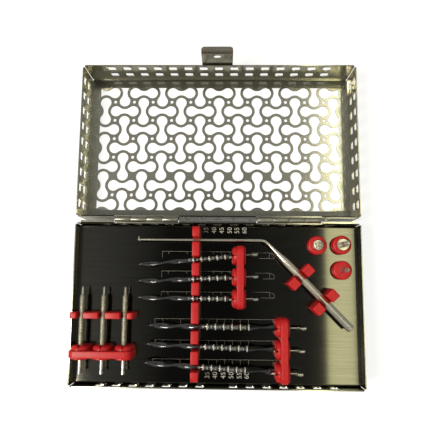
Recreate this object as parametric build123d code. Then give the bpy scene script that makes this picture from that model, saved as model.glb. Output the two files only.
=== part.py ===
from build123d import *
import math
import os

# Implant drill kit: a folded sheet steel cassette lying open, with its instruments in silicone holders.
# Millimetres. +X is right, +Y is towards the opened lid, +Z is up, and the origin is the centre of the
# base's underside. The model is at rest with the lid laid open flat beside the base.

# Folded trays: the base and the lid are the same size and meet rim to rim
sheet = 0.7
tray_width = 182.0
tray_depth = 102.0
tray_height = 22.0
bend_radius = 0.9
rim_corner = 2.0
rim_sides = 12
seam_gap = 0.5
lip_reach = 1.2
lip_half_span = 87.6
lip_end_gap = 0.5

# Pressed slots round the tray walls
slot_pitch = 10.4
slot_length = 5.2
slot_height = 5.0
slot_rows = (5.0, 14.0)
slots_long = 15
slots_short = 9
base_slot_rows = 1

# Bone-shaped openings of the lid, laid alternately along and across the tray
bone_columns = 13
bone_rows = 7
bone_pitch = 13.35
bone_web = 1.8
lobe_offset = 6.1
lobe_facets = 5
waist_facets = 2

# Hinges
hinge_gap = 3.75
hinge_centre = 45.4
hinge_length = 40.6
hinge_knuckles = 4
knuckle_play = 0.15
knuckle_radius = 1.7
pin_radius = 1.0
pin_clearance = 0.05
leaf_height = 9.0
leaf_step = 2.1
closed_gap = 0.1

# Latch: a spring tab on the lid with a hole that drops over a stud on the base
latch_x = -0.95
tab_width = 20.3
tab_overlap = 3.0
tab_straight = 13.8
tab_lip = 5.0
tab_lip_angle = 30.0
tab_corner = 2.0
tab_joggle = 0.6
tab_joggle_run = 1.4
tab_hole = (4.8, 3.8)
tab_hole_height = 9.7
stud_size = (4.2, 3.2)
stud_reach = 1.5
stud_pad = (9.6, 0.5, 8.0)

# Instrument deck: a folded plate that stands on the base's floor
deck_recess = 7.8
deck_clearance = 0.2
deck_bend_radius = 1.4

# Silicone parts
axis_height = 8.0
bar_length = 39.2
bar_thickness = 4.2
bar_height = 15.0
bar_corner = 4.5
boss_pitch = 13.4
boss_width = 11.4
boss_tip_side = 2.8
boss_shank_side = 1.4
comb_x = -13.3
comb_centre_y = 1.15
comb_length = 94.4
comb_thickness = 4.6
comb_height = 14.8
comb_corner = 3.0
comb_gap = 4.3
comb_probe_gap = 3.6
bur_rail_y = -7.3
bur_rail_thickness = 3.8
bur_rail_height = 13.5
bur_rail_chamfer = 1.2
bur_rail_gap = 4.2
clip_size = (18.0, 6.2, 14.0)
clip_chamfer = 0.6
clip_gap = 6.0
grip_play = 0.1
shank_slot = 2.75
tongue = (5.0, 2.4)
tongue_barb = 1.0
tongue_barb_height = 1.6

# Grommets that hold the upright drivers
grommet_radius = 6.0
grommet_height = 5.5
grommet_neck = 4.5
grommet_foot = 5.4
grommet_foot_height = 2.0
grommets = {"grommet_torque": (63.6, 37.4), "grommet_hex": (79.1, 37.7), "grommet_pin": (79.0, 21.7)}

# Instruments: where each drill crosses the comb and its holder, its point and its diameter
shank_radius = 1.175
short_bar_x = 14.4
short_bar_y = 16.75
long_bar_x = 41.0
long_bar_y = -27.4
bur_bar_x = -70.6
bur_bar_y = -30.4
comb_drill_y = (27.4, 15.4, 3.4, -13.6, -25.6, -37.6)
comb_probe_y = 39.9
drill_tip_x = (-50.6, -50.6, -50.6, -43.2, -44.2, -45.4)
drill_diameter = (3.0, 3.2, 3.2, 3.8, 3.5, 3.5)
short_drill = {"length": 76.3, "body": 59.0}
long_drill = {"length": 98.2, "body": 64.0}
drill_point_length = 2.6
drill_tip_radius = 0.3
neck_taper = 1.5
flute_length = 24.0
flute_depth = 0.21
latch_flat_length = 4.6
latch_groove = (0.75, 2.6, 0.8)

bur_tip_y = 10.4
bur_length = 53.2
bur_pilot_length = 5.4
bur_pilot = ((0, 0.35), (1.2, 0.7), (bur_pilot_length, 0.95))
bur_body_length = 31.0
bur_radius = 1.6
bur_taper = 3.0

probe_tip_x = -50.4
probe_tip_radius = 0.6
probe_rod_radius = 0.95
probe_bend_radius = 7.0
probe_bend_x = 30.0
probe_handle_angle = -46.0
probe_handle_start = 7.5
probe_handle_end = 75.5
probe_handle_radius = 2.6
probe_collar = 0.2
probe_end_bevel = 0.6
probe_handle_sides = 6
probe_rod_sides = 8
probe_bend_steps = 4
probe_handle_taper = 11.0
probe_hook = 2.2
clip_distances = (31.5, 52.5)

tool_depth = 5.0
tools = {"torque_driver": ("grommet_torque", 1.9, 3.3, 6.8, 3.2, 8.4),
         "hex_driver": ("grommet_hex", 1.9, 3.8, 8.2, 1.95, 17.0),
         "guide_pin": ("grommet_pin", 1.175, 1.6, 6.6, 1.3, 17.0)}
driver_step = 1.4

# Round pieces are drawn with flat sides: slim turned ones, the bosses and the grommets
slim_sides = 10
boss_sides = 10
grommet_sides = 16
stud_sides = 12

deck_top = tray_height - deck_recess
axis_z = deck_top + axis_height
hinge_y = tray_depth / 2 + hinge_gap / 2
hinge_z = tray_height + closed_gap / 2
lid_centre_y = 2 * hinge_y


def wall_slots(row_count, is_base):
    """Slot cutters through a tray's walls. The base's end walls and the middle of its front are plain."""
    reach = 4 * sheet
    rows = [tray_height - row for row in slot_rows[:row_count]]
    cutters = []
    for z in rows:
        for i in range(slots_long):
            x = (i - (slots_long - 1) / 2) * slot_pitch
            for side in (-1, 1):
                if side < 0 and is_base and i == slots_long // 2:
                    continue
                cutters.append(Pos(x, side * tray_depth / 2, z) * Box(slot_length, reach, slot_height))
        for i in range(0 if is_base else slots_short):
            y = (i - (slots_short - 1) / 2) * slot_pitch
            for side in (-1, 1):
                cutters.append(Pos(side * tray_width / 2, y, z) * Box(reach, slot_length, slot_height))
    return cutters


def rim_rounding(width, depth, facing):
    """Cutters that round the upper ends of the two walls which run along the given width."""
    corner = Rectangle(rim_corner, rim_corner, align=(Align.MAX, Align.MAX))
    corner -= Pos(-rim_corner, -rim_corner) * RegularPolygon(rim_corner, rim_sides)
    cutters = []
    for side in (-1, 1):
        for end in (-1, 1):
            tool = extrude(Plane.XZ * corner, 1.5 * sheet, both=True)
            if end < 0:
                tool = tool.mirror(Plane.YZ)
            tool = Pos(end * width / 2, side * (depth / 2 - sheet / 2), tray_height) * tool
            cutters.append(Rot(0, 0, 90) * tool if facing == "y" else tool)
    return cutters


def folded_tray(slots):
    """A tray folded from one sheet: rounded bends, open corner seams, rounded rim corners and slots."""
    outer = Pos(0, 0, tray_height / 2) * Box(tray_width, tray_depth, tray_height)
    outer = fillet(outer.faces().sort_by(Axis.Z)[0].edges(), bend_radius)
    inner = Pos(0, 0, tray_height / 2 + sheet) * Box(
        tray_width - 2 * sheet, tray_depth - 2 * sheet, tray_height)
    inner = fillet(inner.faces().sort_by(Axis.Z)[0].edges(), bend_radius - sheet)
    tray = outer - inner
    seam_height = tray_height - bend_radius
    cutters = []
    for side_x in (-1, 1):
        for side_y in (-1, 1):
            at = Pos(side_x * tray_width / 2, side_y * tray_depth / 2, bend_radius + seam_height / 2)
            cutters.append(at * Rot(0, 0, 45 * side_x * side_y) * Box(6 * sheet, seam_gap, seam_height))
    cutters += rim_rounding(tray_width, tray_depth, "x")
    cutters += rim_rounding(tray_depth, tray_width, "y")
    return tray - cutters - slots


def hinge_wall_lip():
    """The rim of a hinge wall, turned outward, cut away where the hinges stand. It faces +Y."""
    cut = hinge_length / 2 + lip_end_gap
    spans = ((-lip_half_span, -hinge_centre - cut), (-hinge_centre + cut, hinge_centre - cut),
             (hinge_centre + cut, lip_half_span))
    lips = []
    for start, end in spans:
        lip = Box(end - start, lip_reach + sheet, sheet, align=(Align.MIN, Align.MAX, Align.MAX))
        lips.append(Pos(start, tray_depth / 2 + lip_reach, tray_height) * lip)
    return lips


def bone_outline(along_x):
    """One bone: two round lobes joined by a waist that runs parallel to the neighbouring lobes."""
    lobe_radius = (math.hypot(lobe_offset, bone_pitch - lobe_offset) - bone_web) / 2
    waist_radius = lobe_radius + bone_web
    waist_centre = bone_pitch - lobe_offset
    turn = math.atan2(waist_centre, -lobe_offset)
    waist_half = math.atan2(lobe_offset, waist_centre)
    points = []
    for end in (0, math.pi):
        for i in range(lobe_facets + 1):
            angle = end - turn + 2 * turn * i / lobe_facets
            centre = lobe_offset * math.cos(end)
            points.append((centre + lobe_radius * math.cos(angle), lobe_radius * math.sin(angle)))
        for i in range(1, waist_facets):
            sweep = -waist_half + 2 * waist_half * i / waist_facets
            points.append((-waist_radius * math.sin(sweep) * math.cos(end),
                           (waist_centre - waist_radius * math.cos(sweep)) * math.cos(end)))
    if not along_x:
        points = [(y, x) for x, y in points]
    return make_face(Polyline(*points, close=True))


def bone_grille():
    """All the bones, in a chequerboard of the two directions, cut off square round the edge."""
    lobe_radius = (math.hypot(lobe_offset, bone_pitch - lobe_offset) - bone_web) / 2
    span_x = (bone_columns - 1) * bone_pitch
    span_y = (bone_rows - 1) * bone_pitch
    window = Rectangle(span_x + 2 * lobe_radius, span_y + 2 * lobe_radius)
    bones = []
    for column in range(bone_columns):
        for row in range(bone_rows):
            bone = Pos(column * bone_pitch - span_x / 2, row * bone_pitch - span_y / 2)
            bone = bone * bone_outline((column + row) % 2 == 0)
            at_edge = column in (0, bone_columns - 1) or row in (0, bone_rows - 1)
            bones.append((bone & window).face() if at_edge else bone)
    return [extrude(bone, 3 * sheet, both=True) for bone in bones]


def latch_tab():
    """The spring tab on the lid's far wall: straight, then a lip bent outward, with an oval hole."""
    wall_y = tray_depth / 2
    inner_y = wall_y + tab_joggle
    lean = math.radians(tab_lip_angle)
    top = tray_height + tab_straight
    foot = tray_height - tab_overlap
    joggle = tray_height - tab_joggle_run
    tip = (inner_y + tab_lip * math.sin(lean), top + tab_lip * math.cos(lean))
    across = (sheet * math.cos(lean), -sheet * math.sin(lean))
    side = make_face(Polyline(
        (wall_y, foot), (wall_y, joggle), (inner_y, tray_height), (inner_y, top), tip,
        (tip[0] + across[0], tip[1] + across[1]), (inner_y + sheet, top - sheet * math.tan(lean / 2)),
        (inner_y + sheet, tray_height), (wall_y + sheet, joggle), (wall_y + sheet, foot), close=True))
    tab = extrude(Plane.YZ * side, tab_width / 2, both=True)
    tip_edges = tab.edges().filter_by(
        lambda e: abs(abs(e.center().X) - tab_width / 2) < 0.01 and e.center().Z > top + tab_lip * 0.8
        and e.length < 1.5 * sheet)
    tab = fillet(tip_edges, tab_corner)
    hole = extrude(Plane.XZ * SlotOverall(*tab_hole), 4 * sheet, both=True)
    hole = Pos(0, inner_y, tray_height + tab_hole_height) * hole
    return Pos(latch_x, 0, 0) * (tab - hole)


def lid_tray():
    lid = folded_tray(wall_slots(len(slot_rows), False)) - bone_grille()
    lid = lid + latch_tab() + [lip.mirror(Plane.XZ) for lip in hinge_wall_lip()]
    return Pos(0, lid_centre_y, 0) * lid


def base_tray():
    return folded_tray(wall_slots(base_slot_rows, True)) + hinge_wall_lip()


def hinge_leaves(side, first_knuckle):
    """The leaf on one tray's rear wall, with every second knuckle; side is -1 on the base, 1 on the lid."""
    wall_y = hinge_gap / 2
    bore = pin_radius if side < 0 else pin_radius + pin_clearance
    step = hinge_length / hinge_knuckles
    plate_height = leaf_height - leaf_step
    parts = []
    for centre in (-hinge_centre, hinge_centre):
        leaf = Pos(centre, side * (wall_y - sheet / 2), -leaf_step - plate_height / 2) * Box(
            hinge_length, sheet, plate_height)
        for i in range(first_knuckle, hinge_knuckles, 2):
            at = Pos(centre + (i + 0.5) * step - hinge_length / 2, 0, 0)
            length = step - knuckle_play
            profile = RegularPolygon(knuckle_radius, slim_sides)
            neck = Pos(side * (wall_y - sheet / 2), -leaf_step / 2 - 0.2) * Rectangle(sheet, leaf_step + 0.4)
            hole = RegularPolygon(bore, slim_sides, major_radius=side < 0)
            knuckle = extrude(Plane.YZ * (profile + neck - hole), length / 2, both=True)
            leaf += at * knuckle
        parts.append(Pos(0, hinge_y, hinge_z) * leaf)
    return Compound(children=parts)


def hinge_pins():
    pin = extrude(Plane.YZ * RegularPolygon(pin_radius, slim_sides), hinge_length / 2, both=True)
    pins = [Pos(centre, hinge_y, hinge_z) * pin for centre in (-hinge_centre, hinge_centre)]
    return Compound(children=pins)


def latch_stud():
    """The stud that the tab's hole drops over, on its welded pad."""
    z = 2 * hinge_z - tray_height - tab_hole_height
    width, height = stud_size
    end = RegularPolygon(height / 2, stud_sides)
    outline = Rectangle(width - height, height) + [Pos(side * (width - height) / 2) * end for side in (-1, 1)]
    stud = extrude(Plane.XZ * outline, stud_reach)
    stud += Pos(0, -stud_pad[1] / 2, 0) * Box(*stud_pad)
    return Pos(latch_x, -tray_depth / 2, z) * stud


def holder_places():
    """Every silicone holder's place on the deck: x, y, turn and the spacing of its two tongues."""
    turn = 90 + probe_handle_angle
    places = [(short_bar_x, short_bar_y, 90, 24.0), (long_bar_x, long_bar_y, 90, 24.0),
              (bur_bar_x, bur_bar_y, 0, 24.0), (bur_bar_x, bur_rail_y, 0, 24.0),
              (comb_x, comb_centre_y, 90, 60.0)]
    for distance in clip_distances:
        x, y = along_handle(distance)
        places.append((x, y, turn, 12.0))
    return places


def tongues(spacing):
    """Two tongues under a holder, through the deck, each with a barb below it."""
    feet = []
    for side in (-1, 1):
        neck = Pos(side * spacing / 2, 0, -sheet / 2) * Box(*tongue, sheet)
        barb = Pos(side * spacing / 2, 0, -sheet - tongue_barb_height / 2) * Box(
            tongue[0] + 2 * tongue_barb, tongue[1] + 2 * tongue_barb, tongue_barb_height)
        feet += [neck, barb]
    return feet


def on_deck(shape, place):
    """A holder made at the origin, with its tongues, put at its place on the deck."""
    x, y, turn, spacing = place
    return Pos(x, y, deck_top) * Rot(0, 0, turn) * (shape + tongues(spacing))


def deck_plate():
    """The deck: a plate with flanges folded down at the front and back, pierced for what it carries."""
    width = tray_width - 2 * (sheet + deck_clearance)
    depth = tray_depth - 2 * (sheet + deck_clearance)
    flange = deck_top - sheet
    deck = Pos(0, 0, deck_top - flange / 2) * Box(width, depth, flange)
    deck = fillet(deck.faces().sort_by(Axis.Z)[-1].edges().filter_by(Axis.X), deck_bend_radius)
    hollow = Pos(0, 0, deck_top - sheet - flange / 2) * Box(width, depth - 2 * sheet, flange)
    hollow = fillet(hollow.faces().sort_by(Axis.Z)[-1].edges().filter_by(Axis.X), deck_bend_radius - sheet)
    deck -= hollow
    holes = []
    for x, y, turn, spacing in holder_places():
        for side in (-1, 1):
            slot = Pos(x, y, deck_top) * Rot(0, 0, turn) * Pos(side * spacing / 2, 0, 0)
            holes.append(slot * Box(*tongue, 4 * sheet))
    for x, y in grommets.values():
        hole = extrude(RegularPolygon(grommet_neck, grommet_sides), 4 * sheet, both=True)
        holes.append(Pos(x, y, deck_top) * hole)
    return deck - holes


def drill_line(number):
    """The point where a drill's tip is and the turn of its axis, through the comb and its holder."""
    upper = number < 3
    bar_x, bar_y = (short_bar_x, short_bar_y) if upper else (long_bar_x, long_bar_y)
    boss_y = bar_y + (1 - number % 3) * boss_pitch
    slope = (boss_y - comb_drill_y[number]) / (bar_x - comb_x)
    tip_x = drill_tip_x[number]
    return tip_x, comb_drill_y[number] + slope * (tip_x - comb_x), math.degrees(math.atan(slope))


def along_handle(distance):
    """A point on the probe handle's axis, this far from the bend."""
    angle = math.radians(probe_handle_angle)
    return probe_bend_x + distance * math.cos(angle), comb_probe_y + distance * math.sin(angle)


def grip_slot(x, y, turn, radius, width):
    """An open slot along an instrument's axis, from just under it up past the holder's top."""
    slot = Box(2 * bar_length, width, bar_height, align=(Align.CENTER, Align.CENTER, Align.MIN))
    return Pos(x, y, axis_z - radius - grip_play) * Rot(0, 0, turn) * slot


def bar_shape():
    """A three-place holder: an upright bar with rounded shoulders and a boss round each shank."""
    bar = Pos(0, bar_height / 2) * Rectangle(bar_length, bar_height)
    bar = fillet(bar.vertices().group_by(Axis.Y)[-1], bar_corner)
    shape = extrude(Plane.XZ * bar, bar_thickness / 2, both=True)
    boss_depth = bar_thickness + boss_tip_side + boss_shank_side
    arch = Pos(0, axis_height / 2) * Rectangle(boss_width, axis_height)
    arch += Pos(0, axis_height) * RegularPolygon(boss_width / 2, boss_sides)
    boss = extrude(Plane.XZ * arch, boss_depth / 2, both=True)
    boss = Pos(0, (boss_tip_side - boss_shank_side) / 2, 0) * boss
    for i in (-1, 0, 1):
        shape += Pos(i * boss_pitch, 0, 0) * boss
    return shape


def drill_holder(group, place):
    """A three-place holder for drills, slotted along each drill's own axis."""
    holder = on_deck(bar_shape(), place)
    for number in range(3 * group, 3 * group + 3):
        tip_x, tip_y, turn = drill_line(number)
        slope = math.tan(math.radians(turn))
        y = tip_y + slope * (place[0] - tip_x)
        holder -= grip_slot(place[0], y, turn, shank_radius, shank_slot)
    return holder


def bur_x(number):
    return bur_bar_x + (number - 1) * boss_pitch


def bur_holder(place):
    holder = on_deck(bar_shape(), place)
    for number in range(3):
        holder -= grip_slot(bur_x(number), place[1], 90, shank_radius, shank_slot)
    return holder


def bur_rail(place):
    rail = Pos(0, 0, bur_rail_height / 2) * Box(bar_length, bur_rail_thickness, bur_rail_height)
    rail = chamfer(rail.edges().filter_by(Axis.Y).group_by(Axis.Z)[-1], bur_rail_chamfer)
    rail = on_deck(rail, place)
    for number in range(3):
        rail -= grip_slot(bur_x(number), place[1], 90, bur_radius, bur_rail_gap)
    return rail


def comb_rail(place):
    """The long comb that carries the drills' fluted ends and the probe's rod in open gaps."""
    rail = Pos(0, comb_height / 2) * Rectangle(comb_length, comb_height)
    rail = fillet(rail.vertices().group_by(Axis.Y)[-1], comb_corner)
    rail = on_deck(extrude(Plane.XZ * rail, comb_thickness / 2, both=True), place)
    for number in range(6):
        rail -= grip_slot(comb_x, comb_drill_y[number], 0, drill_diameter[number] / 2, comb_gap)
    return rail - grip_slot(comb_x, comb_probe_y, 0, probe_rod_radius, comb_probe_gap)


def handle_clip(place, distance):
    clip = Pos(0, 0, clip_size[2] / 2) * Box(*clip_size)
    clip = chamfer(clip.edges().filter_by(Axis.Y).group_by(Axis.Z)[-1], clip_chamfer)
    clip = on_deck(clip, place)
    x, y = along_handle(distance)
    return clip - grip_slot(x, y, probe_handle_angle, probe_handle_radius, clip_gap)


def shell_of(rings):
    """A solid skinned with flat faces over rings of equally many points, and closed at both ends."""
    faces = [Face(Wire.make_polygon(ring)) for ring in (rings[0], rings[-1])]
    for one, two in zip(rings, rings[1:]):
        for i in range(len(one)):
            j = (i + 1) % len(one)
            faces.append(Face(Wire.make_polygon([one[i], one[j], two[j], two[i]])))
    return Solid(Shell(faces))


def ring(plane, radius, sides):
    """Points round a circle in a plane, the first one on the plane's X axis."""
    turns = [2 * math.pi * i / sides for i in range(sides)]
    return [plane.from_local_coords((radius * math.cos(a), radius * math.sin(a), 0)) for a in turns]


def turned(profile, sides=slim_sides):
    """A turned piece about the X axis, from (distance along, radius) pairs."""
    return shell_of([ring(Plane.YZ.offset(along), radius, sides) for along, radius in profile])


def latch_shank(start, length):
    """The end of a turned profile that every latch shank has: plain, grooved, and broken at its end."""
    groove_radius, groove_at, groove_width = latch_groove
    groove_end = length - groove_at
    groove_start = groove_end - groove_width
    return [(start, shank_radius), (groove_start, shank_radius), (groove_start, groove_radius),
            (groove_end, groove_radius), (groove_end, shank_radius), (length, shank_radius)]


def drill(number):
    """A twist drill: point, fluted body, and a latch shank with its flat and groove."""
    size = short_drill if number < 3 else long_drill
    radius = drill_diameter[number] / 2
    length, body = size["length"], size["body"]
    shape = turned([(0, drill_tip_radius), (drill_point_length, radius), (body, radius)]
                   + latch_shank(body + neck_taper, length))
    flat = Pos(length, 0, shank_radius) * Box(2 * latch_flat_length, 4 * shank_radius, shank_radius)
    flute = Box(2 * flute_length, 2 * flute_depth * radius, 2 * radius)
    for side in (-1, 1):
        shape -= Pos(0, side * radius, 0) * flute
    tip_x, tip_y, turn = drill_line(number)
    return Pos(tip_x, tip_y, axis_z) * Rot(0, 0, turn) * (shape - flat)


def bur(number):
    """A diamond bur: slim pilot, long cylindrical body that tapers off, and a latch shank."""
    body_end = bur_pilot_length + bur_body_length
    shape = turned(list(bur_pilot) + [(bur_pilot_length, bur_radius), (body_end - bur_taper, bur_radius)]
                   + latch_shank(body_end, bur_length))
    return Pos(bur_x(number), bur_tip_y, axis_z) * Rot(0, 0, -90) * shape


def depth_probe():
    """The depth probe: a slim rod with a hooked end, bent down to a stout handle with six flats."""
    bend = math.radians(-probe_handle_angle)
    bend_run = probe_bend_radius * math.tan(bend / 2)
    rod_end = probe_bend_x - bend_run
    start = Plane(origin=(probe_tip_x, comb_probe_y, 0), x_dir=(0, 0, 1), z_dir=(1, 0, 0))
    rings = [ring(start, probe_tip_radius, probe_rod_sides)]
    for i in range(probe_bend_steps + 1):
        turn = bend * i / probe_bend_steps
        at = (rod_end + probe_bend_radius * math.sin(turn),
              comb_probe_y - probe_bend_radius * (1 - math.cos(turn)), 0)
        plane = Plane(origin=at, x_dir=(0, 0, 1), z_dir=(math.cos(turn), -math.sin(turn), 0))
        rings.append(ring(plane, probe_rod_radius, probe_rod_sides))
    rod = shell_of(rings)
    hook = Pos(probe_tip_x + probe_tip_radius, comb_probe_y + probe_hook / 2, 0) * Box(
        probe_tip_radius, probe_hook, probe_tip_radius)
    taper_end = probe_handle_start + probe_handle_taper
    collar = probe_rod_radius + probe_collar
    handle = turned([(bend_run, collar), (probe_handle_start, collar), (taper_end, probe_handle_radius),
                     (probe_handle_end - probe_end_bevel, probe_handle_radius),
                     (probe_handle_end, probe_handle_radius - probe_end_bevel)], probe_handle_sides)
    handle = Pos(probe_bend_x, comb_probe_y, 0) * Rot(0, 0, probe_handle_angle) * handle
    return Pos(0, 0, axis_z) * (rod + hook + handle)


def grommet(name):
    """A round silicone plug with a flange each side of the deck, bored for its driver."""
    x, y = grommets[name]
    shaft = [tool[1] for tool in tools.values() if tool[0] == name][0]
    flange = extrude(RegularPolygon(grommet_radius, grommet_sides), grommet_height)
    neck = extrude(RegularPolygon(grommet_neck, grommet_sides), -sheet)
    foot = extrude(Plane.XY.offset(-sheet) * RegularPolygon(grommet_foot, grommet_sides), -grommet_foot_height)
    bore = RegularPolygon(shaft + grip_play, slim_sides, major_radius=False)
    bore = extrude(bore, 2 * grommet_height, both=True)
    return Pos(x, y, deck_top) * (flange + neck + foot - bore)


def upright_tool(name):
    """A driver standing in its grommet: shaft below, collar on the grommet's top, slimmer stem above."""
    grommet_name, shaft, collar, collar_top, stem, top = tools[name]
    x, y = grommets[grommet_name]
    collar_base = grommet_height + grip_play
    shape = Rot(0, -90, 0) * turned([
        (-tool_depth, shaft), (collar_base, shaft), (collar_base, collar), (collar_top, collar),
        (collar_top, stem), (top, stem)])
    if name == "torque_driver":
        shape -= Pos(-stem / 4, 0, top) * Box(2 * stem, 3 * stem, 2 * driver_step, align=(
            Align.MAX, Align.CENTER, Align.CENTER))
    return Pos(x, y, deck_top) * shape


places = holder_places()
parts = {
    "base_tray": base_tray(),
    "deck_plate": deck_plate(),
    "lid_tray": lid_tray(),
    "base_hinge_leaves": hinge_leaves(-1, 0),
    "lid_hinge_leaves": hinge_leaves(1, 1),
    "hinge_pins": hinge_pins(),
    "latch_stud": latch_stud(),
    "short_drill_holder": drill_holder(0, places[0]),
    "long_drill_holder": drill_holder(1, places[1]),
    "bur_holder": bur_holder(places[2]),
    "bur_rail": bur_rail(places[3]),
    "comb_rail": comb_rail(places[4]),
    "upper_handle_clip": handle_clip(places[5], clip_distances[0]),
    "lower_handle_clip": handle_clip(places[6], clip_distances[1]),
    "depth_probe": depth_probe(),
}
for number in range(6):
    kind = "short_drill" if number < 3 else "long_drill"
    parts[f"{kind}_{number % 3 + 1}"] = drill(number)
for number in range(3):
    parts[f"diamond_bur_{number + 1}"] = bur(number)
for name in grommets:
    parts[name] = grommet(name)
for name in tools:
    parts[name] = upright_tool(name)

os.makedirs("parts", exist_ok=True)
for name, shape in parts.items():
    export_step(shape, f"parts/{name}.step")
    print(name, round(shape.volume, 1))
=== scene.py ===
import bmesh
import bpy
import math
from mathutils import Matrix, Vector


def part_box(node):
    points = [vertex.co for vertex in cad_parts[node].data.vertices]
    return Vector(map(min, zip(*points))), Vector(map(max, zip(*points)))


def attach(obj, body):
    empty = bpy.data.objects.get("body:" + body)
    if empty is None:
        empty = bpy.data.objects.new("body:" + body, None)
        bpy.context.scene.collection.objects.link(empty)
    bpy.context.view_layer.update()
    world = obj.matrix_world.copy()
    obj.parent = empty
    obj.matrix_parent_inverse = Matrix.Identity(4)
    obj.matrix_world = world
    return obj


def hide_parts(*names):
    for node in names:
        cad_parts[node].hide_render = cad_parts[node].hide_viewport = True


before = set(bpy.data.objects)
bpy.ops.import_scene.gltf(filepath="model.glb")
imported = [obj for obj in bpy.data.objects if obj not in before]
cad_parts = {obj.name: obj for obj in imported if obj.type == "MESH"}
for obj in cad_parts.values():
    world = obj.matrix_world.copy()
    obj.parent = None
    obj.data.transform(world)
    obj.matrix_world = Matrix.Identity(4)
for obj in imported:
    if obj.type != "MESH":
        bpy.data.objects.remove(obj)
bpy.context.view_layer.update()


# Base tray: one blank of 0.7 mm austenitic stainless sheet, slotted in a press, then folded up on four
# sides with the corners left open. The folds, the slots' rims and the rounded rim corners catch the light.
millimetre = 0.001
base_low, base_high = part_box("base_tray")
tray_width = (base_high.x - base_low.x) / millimetre
tray_depth = -2 * base_low.y / millimetre
tray_height = base_high.z / millimetre
sheet = 0.7
bend_radius = 0.9
broken_edge = 0.05
rim_corner = 2.0
seam_gap = 0.12
relief_radius = 0.8
slot_pitch_long = 10.36
slot_pitch_short = 10.43
slot_length = 5.3
slot_height = 4.9
slot_corner = 1.1
slot_rows = (5.0, 14.0)
slots_each_way_long = 7
slots_each_way_short = 4
bend_steps = 4


def linear(hex_colour):
    """A colour written as sRGB hex, as the linear colour that a shader takes."""
    channels = [int(hex_colour[i:i + 2], 16) / 255 for i in (1, 3, 5)]
    return tuple(c / 12.92 if c <= 0.04045 else ((c + 0.055) / 1.055) ** 2.4 for c in channels) + (1,)


def add_node(material, kind, inputs=None, **properties):
    """Adds a shader node with its properties, and sets each input or links it to another node's output."""
    node = material.node_tree.nodes.new(kind)
    for name, value in properties.items():
        setattr(node, name, value)
    for name, value in (inputs or {}).items():
        if isinstance(value, bpy.types.NodeSocket):
            material.node_tree.links.new(value, node.inputs[name])
        else:
            node.inputs[name].default_value = value
    return node


def new_material(name):
    """A material with only its output left, ready for its own shader."""
    material = bpy.data.materials.new(name)
    material.use_nodes = True
    material.node_tree.nodes.remove(material.node_tree.nodes["Principled BSDF"])
    return material


def place_on(material):
    """Where a point is on its piece, in metres."""
    return add_node(material, "ShaderNodeTexCoord").outputs["Object"]


def noise(material, where, size, detail=2.0):
    """A noise whose cells have a real size, in metres."""
    inputs = {"Vector": where, "Scale": 1 / size, "Detail": detail}
    return add_node(material, "ShaderNodeTexNoise", inputs).outputs["Fac"]


def spread(material, value, low, high, start=0.0, end=1.0, **properties):
    """A value that runs from start to end, laid out from low to high."""
    inputs = {"Value": value, "From Min": start, "From Max": end, "To Min": low, "To Max": high}
    return add_node(material, "ShaderNodeMapRange", inputs, **properties).outputs["Result"]


def tint(material, share, dark, light):
    """A colour between a dark and a light one, by a share that varies over the surface."""
    inputs = {"Factor": share, "A": linear(dark), "B": linear(light)}
    return add_node(material, "ShaderNodeMix", inputs, data_type="RGBA").outputs["Result"]


def relief(material, height, strength, depth):
    """The normal of a surface with a fine relief, its depth in metres."""
    inputs = {"Height": height, "Strength": strength, "Distance": depth}
    return add_node(material, "ShaderNodeBump", inputs).outputs["Normal"]


def surface(material, **settings):
    """Gives a material its shader; each setting is a socket's name with underscores for its spaces."""
    inputs = {name.replace("_", " "): value for name, value in settings.items()}
    shader = add_node(material, "ShaderNodeBsdfPrincipled", inputs)
    output = material.node_tree.nodes["Material Output"]
    material.node_tree.links.new(shader.outputs[0], output.inputs["Surface"])
    return material


def arc(centre, radius, start, sweep, steps):
    """Points along an arc, its ends included, with angles in degrees."""
    angles = [math.radians(start + sweep * i / steps) for i in range(steps + 1)]
    return [(centre[0] + radius * math.cos(a), centre[1] + radius * math.sin(a)) for a in angles]


def rounded_rectangle(centre, length, height, corner, steps=4):
    x, y = length / 2 - corner, height / 2 - corner
    points = []
    for i, (sx, sy) in enumerate(((1, 1), (-1, 1), (-1, -1), (1, -1))):
        points += arc((centre[0] + sx * x, centre[1] + sy * y), corner, 90 * i, 90, steps)
    return points


def cut_sheet(loops, thickness, edge, edge_steps=0):
    """A flat sheet cut to closed outlines, the holes among them, with its edges broken."""
    curve = bpy.data.curves.new("blank", "CURVE")
    curve.dimensions = "2D"
    curve.fill_mode = "BOTH"
    curve.extrude = thickness / 2 - edge
    curve.bevel_depth = edge
    curve.bevel_resolution = edge_steps
    curve.offset = -edge
    for loop in loops:
        spline = curve.splines.new("POLY")
        spline.points.add(len(loop) - 1)
        for point, (x, y) in zip(spline.points, loop):
            point.co = (x, y, 0, 1)
        spline.use_cyclic_u = True
    holder = bpy.data.objects.new("blank", curve)
    mesh = bpy.data.meshes.new_from_object(holder)
    bpy.data.objects.remove(holder)
    bpy.data.curves.remove(curve)
    cleaned = bmesh.new()
    cleaned.from_mesh(mesh)
    bmesh.ops.remove_doubles(cleaned, verts=cleaned.verts, dist=0.002)
    bmesh.ops.recalc_face_normals(cleaned, faces=cleaned.faces)
    cleaned.to_mesh(mesh)
    cleaned.free()
    return mesh


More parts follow.
